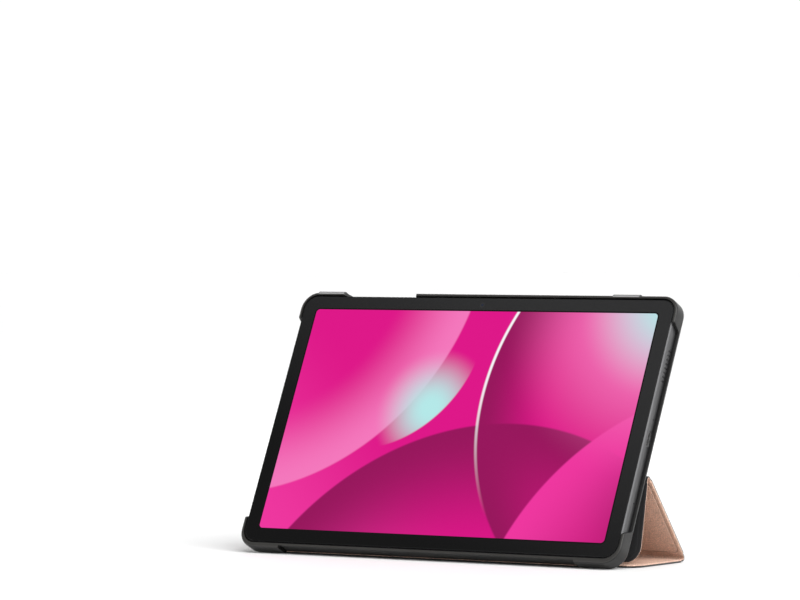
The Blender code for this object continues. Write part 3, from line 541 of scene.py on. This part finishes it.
PAINTS = {
    "shell_plastic": shell_paint(),
    "leather": leather_paint("folio_leather", ROSE_GOLD, 0.3),
    "lining": lining_paint(),
    "frame_metal": frame_paint(),
    "glass": glass_paint(),
    "circuit_board": board_paint(),
    "cover_board": grained("folio_cover_board", (0.30, 0.27, 0.22), 0.9, patch=300.0).material,
    "magnet": grained("folio_magnet", (0.45, 0.45, 0.46), 0.32, 1.0).material,
    "display": grained("folio_display", (0.05, 0.05, 0.055), 0.3, depth=0.005 * MM).material,
    "adhesive": grained("folio_adhesive", (0.03, 0.03, 0.03), 0.85).material,
    "back_metal": grained("folio_back_metal", (0.045, 0.045, 0.048), 0.33, 0.9, grain=4000.0,
                          depth=0.008 * MM).material,
    "battery_foil": grained("folio_battery_foil", (0.10, 0.10, 0.11), 0.38, grain=160.0,
                            depth=0.15 * MM).material,
    "can_metal": grained("folio_can_metal", (0.6, 0.6, 0.6), 0.3, 1.0,
                         stretch=(1, 12, 12)).material,
    "copper": grained("folio_copper", (0.72, 0.35, 0.2), 0.3, 1.0, patch=400.0).material,
    "flex": grained("folio_flex", (0.35, 0.15, 0.03), 0.45, stretch=(1, 8, 8)).material,
    "black_plastic": grained("folio_black_plastic", (0.02, 0.02, 0.02), 0.5).material,
    "lens_glass": grained("folio_lens_glass", (0.004, 0.004, 0.007), 0.05, depth=0.001 * MM,
                          rough_spread=0.02, Coat_Weight=1.0).material,
    "steel": grained("folio_steel", (0.5, 0.5, 0.5), 0.28, 1.0, stretch=(1, 10, 10)).material,
}


# The CAD nodes ---------------------------------------------------------------------------

def frame_envelope():
    """A solid whose sides curve in towards the back and, more, towards the glass."""
    levels, steps = 24, 20
    vertices = []
    for i in range(levels + 1):
        z = FRAME_MID + FRAME_HALF * 1.5 * (2 * i / levels - 1)
        off = (z - FRAME_MID) / FRAME_HALF
        crown = CROWN_FRONT if off > 0 else CROWN_BACK
        inset = crown * min(abs(off), 1.15) ** 3 - CROWN_CLEAR
        half_w, half_h = TABLET_W / 2 - inset, TABLET_H / 2 - inset
        outline = rounded(-half_w, half_w, TABLET_MID - half_h, TABLET_MID + half_h,
                          (TABLET_CORNER - inset,) * 4, steps)
        vertices += [(x, y, z) for x, y in outline]
    return new_piece("frame_envelope", vertices, skin(levels + 1, len(outline)),
                     PAINTS["frame_metal"], TABLET)


def rounded_frame(node):
    """The side frame with its walls rounded off, in place of its straight-walled CAD node."""
    made = bpy.data.objects.new("midframe_rounded", node.data.copy())
    bpy.context.scene.collection.objects.link(made)
    made.modifiers.new("weld", "WELD").merge_threshold = WELD_GAP
    envelope = frame_envelope()
    crown = made.modifiers.new("crown", "BOOLEAN")
    crown.operation = "INTERSECT"
    crown.object = envelope
    shown = made.evaluated_get(bpy.context.evaluated_depsgraph_get())
    mesh = bpy.data.meshes.new_from_object(shown)
    made.modifiers.clear()
    made.data = mesh
    bpy.data.objects.remove(envelope)
    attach(made, "tablet")
    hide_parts("midframe")
    return made


def dress(name, node):
    """A node's material, its edges eased and its curved faces shaded as curves."""
    node.data.materials.clear()
    node.data.materials.append(PAINTS[SLOT_OF[name]])
    for polygon in node.data.polygons:
        polygon.material_index = 0
    if "custom_normal" in node.data.attributes:
        node.data.attributes.remove(node.data.attributes["custom_normal"])
    node.data.shade_smooth()
    node.modifiers.new("weld", "WELD").merge_threshold = WELD_GAP
    ease = EASED.get(name)
    if ease:
        bevel = node.modifiers.new("ease", "BEVEL")
        bevel.width = ease
        bevel.segments = 2
        bevel.limit_method = "ANGLE"
        bevel.angle_limit = radians(40)
    split = node.modifiers.new("split", "EDGE_SPLIT")
    split.split_angle = radians(32)
    node.modifiers.new("even_shading", "WEIGHTED_NORMAL").keep_sharp = True


EASED = {"case_shell": 0.14 * MM, "power_button": 0.08 * MM, "volume_rocker": 0.08 * MM,
         "usb_c_port": 0.06 * MM}
for node_name, cad_node in frame["nodes"].items():
    dress(node_name, cad_node)
dress("midframe", rounded_frame(frame["nodes"]["midframe"]))


# The cover's panels ----------------------------------------------------------------------

class Panel:
    """A panel of the cover in its own frame: X, along from its crease, and the leather's side."""

    def __init__(self, name, body, joint, along, middle, ends, corners, folds, half=HALF,
                 board=True, half_t=PANEL_HALF_T):
        self.name, self.body, self.ends, self.corners = name, body, ends, corners
        self.folds, self.half, self.board, self.half_t = folds, half, board, half_t
        self.along = Vector((0, cos(along), sin(along)))
        self.out = Vector((0, -sin(along), cos(along)))
        self.axis = Vector(JOINTS[joint]["pos_m"])
        self.middle = middle
        self.place = frame_matrix(self.axis + self.out * middle, self.along, self.out)

    def ring(self, inset):
        """The outline moved in. At FREE_MARGIN it lies on the board's edge on every side."""
        past = max(inset - FREE_MARGIN, 0.0)
        share = min(inset / FREE_MARGIN, 1.0)

        def side(fold):
            margin = FOLD_MARGIN if fold else FREE_MARGIN
            start = 0.9 * MM
            if inset <= start:
                return inset
            return start + (margin - start) * (share * FREE_MARGIN - start) / (
                FREE_MARGIN - start) + past
        radii = []
        for corner in self.corners:
            board = max(corner - FREE_MARGIN, 2.2 * MM)
            radii.append(max(corner + (board - corner) * share - past, 0.3 * MM))
        free = side(False)
        return rounded(-self.half + free, self.half - free, self.ends[0] + side(self.folds[0]),
                       self.ends[1] - side(self.folds[1]), radii, 10)

    def free_edge(self, x, y):
        """How far the point is from the nearest free edge."""
        low = self.ends[0] - (1.0 if self.folds[0] else 0.0)
        high = self.ends[1] + (1.0 if self.folds[1] else 0.0)
        half_y = (high - low) / 2
        y_mid = (high + low) / 2
        far = y > (self.ends[0] + self.ends[1]) / 2
        fold_near = self.folds[1] if far else self.folds[0]
        radius = CREASE_CORNER if fold_near else self.corners[2 if far else 0]
        dx = abs(x) - (self.half - radius)
        dy = abs(y - y_mid) - (half_y - radius)
        outside = sqrt(max(dx, 0.0) ** 2 + max(dy, 0.0) ** 2)
        return radius - outside - min(max(dx, dy), 0.0)

    def fold_edge(self, y):
        gaps = [abs(y - end) for end, fold in zip(self.ends, self.folds) if fold]
        return min(gaps, default=1.0)

    @staticmethod
    def groove_at(inset):
        return exp(-((inset - GROOVE_INSET) / GROOVE_WIDTH) ** 2)

    def height(self, x, y, inset, margin_t, groove):
        """The outer face's distance from the middle plane."""
        if self.board:
            raised = smoothstep((inset - 2.15 * MM) / (0.35 * MM))
            z = margin_t + (self.half_t - margin_t) * raised
            z -= groove * self.groove_at(inset)
        else:
            z = self.half_t
        nearness = min(max(self.free_edge(x, y), 0.0) / RIM_REACH, 1.0)
        z = RIM_LIP + (z - RIM_LIP) * sqrt(max(1 - (1 - nearness) ** 2, 0.0))
        thinned = FOLD_HALF_T + (z - FOLD_HALF_T) * smoothstep(self.fold_edge(y) / FOLD_REACH)
        return min(z, thinned) if z > FOLD_HALF_T else z

    def layer(self, side, slot):
        """One half of the sandwich: its outer face, and an inner face hollowed for the board."""
        insets = [i * MM for i in RING_INSETS_MM]
        outer, inner, grooves = [], [], []
        for inset in insets:
            ring = self.ring(inset)
            grooves += [self.groove_at(inset) if self.board else 0.0] * len(ring)
            outer.append([(x, y, side * self.height(x, y, inset, *FACE_SHAPE[slot]))
                          for x, y in ring])
            hollow = 0.0
            if self.board:
                hollow = (self.half_t - 0.56 * MM) * smoothstep((inset - 2.3 * MM) / (0.28 * MM))
            inner.append([(x, y, side * hollow) for x, y in ring])
        rings = list(reversed(inner)) + outer
        vertices = [p for ring in rings for p in ring]
        made = new_piece(f"{self.name}_{slot}_face", vertices, skin(len(rings), len(rings[0])),
                         PAINTS[slot], self.place,
                         grooves=[0.0] * len(grooves) + grooves)
        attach(made, self.body)
        return made

    def build(self, leather_node, lining_node):
        leather = self.layer(1, "leather")
        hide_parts(leather_node)
        lining = self.layer(-1, "lining")
        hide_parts(lining_node)


NEAR = (PANEL_CORNER, PANEL_CORNER, CREASE_CORNER, CREASE_CORNER)
FAR = (CREASE_CORNER, CREASE_CORNER, PANEL_CORNER, PANEL_CORNER)
STRIP = Panel("spine_strip", "spine", "spine_crease", 0.0, 0.0, (0.64 * MM, STRIP_END),
              (0.5 * MM,) * 4, (False, True), STRIP_HALF, False, STRIP_HALF_T)
INNER = Panel("inner_panel", "inner_panel", "inner_panel_crease", 0.0, 0.5 * MM,
              (CREASE_GAP, INNER_L - CREASE_GAP), NEAR, (False, True))
MIDDLE = Panel("middle_panel", "middle_panel", "middle_panel_crease", MIDDLE_RISE, -1.5 * MM,
               (CREASE_GAP, MIDDLE_L - CREASE_GAP), (CREASE_CORNER,) * 4, (True, True))
OUTER = Panel("outer_panel", "outer_panel", "outer_panel_crease", OUTER_FALL, -1.5 * MM,
              (CREASE_GAP, OUTER_L), FAR, (True, False))
STRIP.build("spine_leather", "spine_lining")
INNER.build("inner_panel_leather", "inner_panel_lining")
MIDDLE.build("middle_panel_leather", "middle_panel_lining")
OUTER.build("outer_panel_leather", "outer_panel_lining")


# The folds between the panels ------------------------------------------------------------

def bend_fold(name, before, after):
    """The leather and lining that turn round a crease with its axis on the leather's side."""
    axis = after.axis
    steps = 16
    reach = -after.middle
    turn = atan2(after.along.z, after.along.y) - atan2(before.along.z, before.along.y)
    turn %= 2 * pi

    def point(station, radius):
        kind, value = station
        if kind == "before":
            return axis - before.along * value - before.out * radius
        if kind == "after":
            return axis + after.along * value - after.out * radius
        angle = turn * value
        return axis + (Matrix.Rotation(angle, 3, "X") @ -before.out) * radius
    straight = (CREASE_GAP / 2, CREASE_GAP, CREASE_GAP + FOLD_TUCK)
    stations = [("before", value) for value in reversed(straight)]
    stations += [("turn", i / steps) for i in range(steps + 1)]
    stations += [("after", value) for value in straight]
    for slot, near, far in (("leather", reach - FOLD_HALF_T, reach),
                            ("lining", reach + FOLD_HALF_T, reach)):
        thin = FOLD_THIN if near < far else -FOLD_THIN
        face = [point(s, near + (thin if i in (0, len(stations) - 1) else 0.0))
                for i, s in enumerate(stations)]
        back = [point(s, far) for s in reversed(stations)]
        section = [(p.y, p.z) for p in face + back]
        vertices, faces = strip_mesh(section, HALF - 0.35 * MM)
        made = new_piece(f"{name}_{slot}", vertices, faces, PAINTS[slot])
        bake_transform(made)


def spine_fold():
    """The leather and lining between the spine strip and the inner panel, flat at rest."""
    axis = INNER.axis
    reach = CREASE_GAP + FOLD_TUCK
    steps = 12
    for slot, side in (("leather", 1), ("lining", -1)):
        face, back = [], []
        for i in range(steps + 1):
            y = -reach + 2 * reach * i / steps
            middle = INNER.middle * smoothstep((y + CREASE_GAP) / (2 * CREASE_GAP))
            thin = FOLD_THIN if i in (0, steps) else 0.0
            face.append((axis.y + y, axis.z + middle + side * (FOLD_HALF_T - thin)))
            back.append((axis.y + y, axis.z + middle))
        vertices, faces = strip_mesh(face + back[::-1], STRIP_HALF - 0.3 * MM)
        made = new_piece(f"spine_fold_{slot}", vertices, faces, PAINTS[slot])
        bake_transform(made)


def anchor_roll():
    """The cover's edge round the spine's crease: leather behind, the turned-in lining in front."""
    radius, lip, cover = 0.54 * MM, 0.57 * MM, 0.3 * MM
    flat = 1.5 * MM
    roll = arc((0, 0), radius, -0.5 * pi, -1.25 * pi, 20)
    leather = [(flat, -radius)] + roll + [(flat, -0.12 * MM)]
    lining = arc((0, 0), lip, -0.8 * pi, -pi, 20) + arc((0, 0), cover, -1.8 * pi, pi, 20)
    for name, section, slot in (("spine_anchor_roll", leather, "leather"),
                                ("spine_anchor_lip", lining, "lining")):
        section = [(y + AXIS_IN_TABLET[0], z + AXIS_IN_TABLET[1]) for y, z in section]
        vertices, faces = strip_mesh(section, STRIP_HALF)
        made = new_piece(name, vertices, faces, PAINTS[slot], TABLET)
        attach(made, "case")


bend_fold("back_fold", INNER, MIDDLE)
bend_fold("top_fold", MIDDLE, OUTER)
spine_fold()
anchor_roll()


# The rear camera -------------------------------------------------------------------------

CAMERA_RING = grained("folio_camera_ring", (0.15, 0.15, 0.155), 0.26, 0.9, grain=5000.0,
                      depth=0.006 * MM).material


def turned_piece(name, profile, node, material):
    vertices, faces = lathe([(r * MM, z * MM) for r, z in profile], CAMERA_PLACE)
    made = new_piece(name, vertices, faces, material, TABLET, sharp=35)
    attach(made, "tablet")
    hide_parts(node)


turned_piece("camera_ring_turned", [
    (8.0, 2.75), (8.0, 1.0), (7.93, 0.78), (7.75, 0.6), (7.45, 0.5), (7.05, 0.5), (6.95, 0.58),
    (6.9, 0.7), (6.6, 0.7), (6.55, 0.58), (6.45, 0.52), (6.0, 0.56), (5.6, 0.68), (5.35, 0.9),
    (5.22, 1.2), (5.2, 2.75)], "rear_camera_ring", CAMERA_RING)
turned_piece("camera_lens_turned", [
    (0, 0.74), (0.5, 0.76), (0.95, 0.82), (1.3, 0.92), (1.5, 1.04), (1.55, 1.12), (2.2, 1.12),
    (2.35, 0.96), (3.3, 0.96), (3.45, 0.8), (4.3, 0.8), (4.4, 0.72), (4.75, 0.7), (4.92, 0.76),
    (5.0, 0.9), (5.0, 1.35), (0, 1.35)], "rear_camera_lens", PAINTS["lens_glass"])


# Floor, light and camera -----------------------------------------------------------------

CAMERA_AZIMUTH, CAMERA_ELEVATION = 33.19, 1.0        # degrees
CAMERA_LENS_MM = 202.5
CAMERA_AWAY, CAMERA_ACROSS, CAMERA_UP = 2.503, -0.0329, 0.143


def make_floor():
    """A round sheet of pale paper, finer in the middle."""
    size, rings, sides = 14.0, 24, 64
    vertices, faces = [(0, 0, 0)], []
    for r in range(1, rings + 1):
        radius = size * (r / rings) ** 2
        vertices += [(x, y, 0.0) for x, y in arc((0, 0), radius, 0, 2 * pi, sides)[:-1]]
    for i in range(sides):
        j = (i + 1) % sides
        faces.append([0, 1 + i, 1 + j])
        for r in range(rings - 1):
            a, b = 1 + r * sides, 1 + (r + 1) * sides
            faces.append([a + i, b + i, b + j, a + j])
    mesh = bpy.data.meshes.new("studio_floor")
    mesh.from_pydata(vertices, [], faces)
    floor = bpy.data.objects.new("studio_floor", mesh)
    bpy.context.scene.collection.objects.link(floor)
    paint = grained("studio_paper", (0.92, 0.92, 0.92), 0.85, spread=0.01, patch=6.0,
                    grain=700.0, depth=0.01 * MM, rough_spread=0.03)
    mesh.materials.append(paint.material)


def area_light(name, place, target, size, power):
    light = bpy.data.lights.new(name, "AREA")
    light.shape = "RECTANGLE"
    light.size, light.size_y = size
    light.energy = power
    made = bpy.data.objects.new(name, light)
    made.location = place
    made.rotation_euler = (Vector(target) - Vector(place)).to_track_quat("-Z", "Y").to_euler()
    bpy.context.scene.collection.objects.link(made)


def make_camera():
    """The view from which the photographed object stands as it does in the picture's frame."""
    azimuth, elevation = radians(CAMERA_AZIMUTH), radians(CAMERA_ELEVATION)
    right = Vector((cos(azimuth), sin(azimuth), 0))
    forward = Vector((-sin(azimuth) * cos(elevation), cos(azimuth) * cos(elevation),
                      -sin(elevation)))
    up = right.cross(forward)
    camera = bpy.data.cameras.new("photo_view")
    camera.lens = CAMERA_LENS_MM
    camera.sensor_width = 36.0
    camera.clip_start, camera.clip_end = 0.05, 100.0
    made = bpy.data.objects.new("photo_view", camera)
    made.matrix_world = Matrix((right, up, -forward)).transposed().to_4x4()
    made.location = forward * -CAMERA_AWAY + right * CAMERA_ACROSS + up * CAMERA_UP
    bpy.context.scene.collection.objects.link(made)
    bpy.context.scene.camera = made


def make_world():
    """A pale room: white round the horizon, greyer overhead."""
    world = bpy.data.worlds.new("studio")
    world.use_nodes = True
    tree = world.node_tree
    background = tree.nodes["Background"]
    direction = tree.nodes.new("ShaderNodeTexCoord")
    height = tree.nodes.new("ShaderNodeSeparateXYZ")
    tree.links.new(direction.outputs["Generated"], height.inputs[0])
    fade = tree.nodes.new("ShaderNodeMapRange")
    fade.interpolation_type = "SMOOTHSTEP"
    for key, value in (("From Min", 0.15), ("From Max", 0.6), ("To Min", 1.04),
                       ("To Max", 0.3)):
        fade.inputs[key].default_value = value
    tree.links.new(height.outputs[2], fade.inputs["Value"])
    tree.links.new(fade.outputs["Result"], background.inputs["Strength"])
    background.inputs["Color"].default_value = (1, 1, 1, 1)
    bpy.context.scene.world = world


def sun_light(name, towards, width, strength):
    """A very soft light that falls evenly on the whole floor; width is in degrees."""
    light = bpy.data.lights.new(name, "SUN")
    light.angle = radians(width)
    light.energy = strength
    made = bpy.data.objects.new(name, light)
    made.rotation_euler = Vector(towards).to_track_quat("Z", "Y").to_euler()
    bpy.context.scene.collection.objects.link(made)


make_floor()
make_world()
sun_light("key_light", (0.85, -0.45, 0.95), 60.0, 3.2)
area_light("side_softbox", (1.6, 0.5, 0.5), (0, 0, 0.07), (0.5, 1.2), 5.0)
area_light("back_softbox", (-0.7, 1.4, 1.2), (0, 0, 0.05), (1.2, 0.8), 6.0)
bpy.context.scene.view_settings.view_transform = "Standard"
make_camera()
